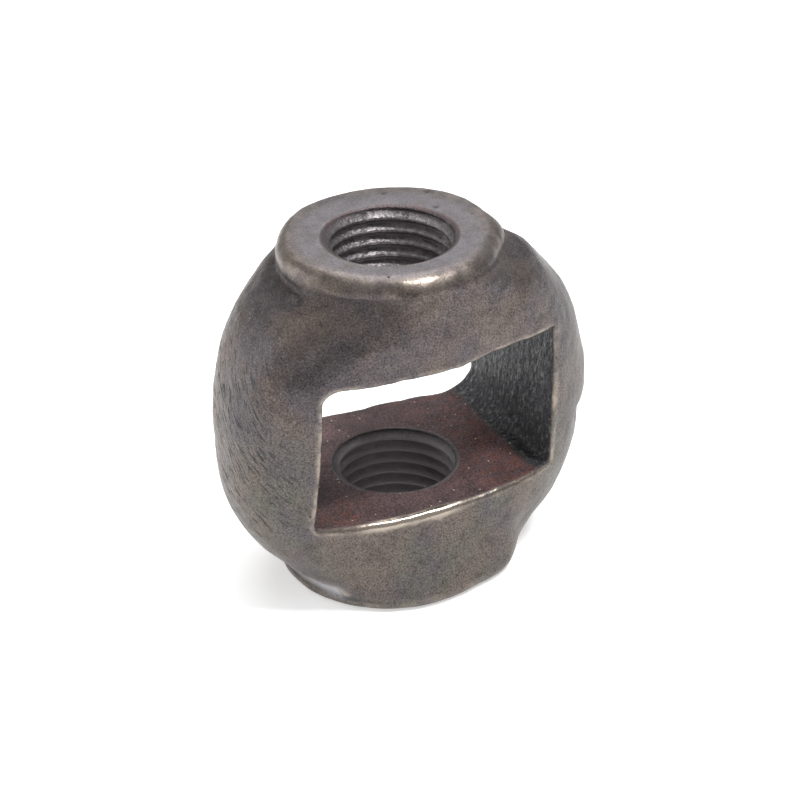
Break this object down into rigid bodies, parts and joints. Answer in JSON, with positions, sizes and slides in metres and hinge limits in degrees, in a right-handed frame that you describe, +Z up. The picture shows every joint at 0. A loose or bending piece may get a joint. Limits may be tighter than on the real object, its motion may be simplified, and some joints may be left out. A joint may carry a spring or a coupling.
{
  "type": "lamp hickey",
  "caption": "Stirrup-shaped cast iron pipe fitting: round bosses threaded right through on a shared axis, joined by bowed arms around an open window.",
  "frame": {"origin": "centre of the bottom face, on the axis of the two threaded bores", "axes": "+Z up along the bore axis, +X along the arms, +Y through the window; the view that shows the window at its widest looks along +Y"},
  "size_m": [0.041, 0.0248, 0.0381],
  "materials": {
    "iron": "handled malleable iron, dark grey-brown satin, with light rust inside the window"
  },
  "bodies": {
    "root": {"hickey_body": "iron"}
  },
  "joints": []
}
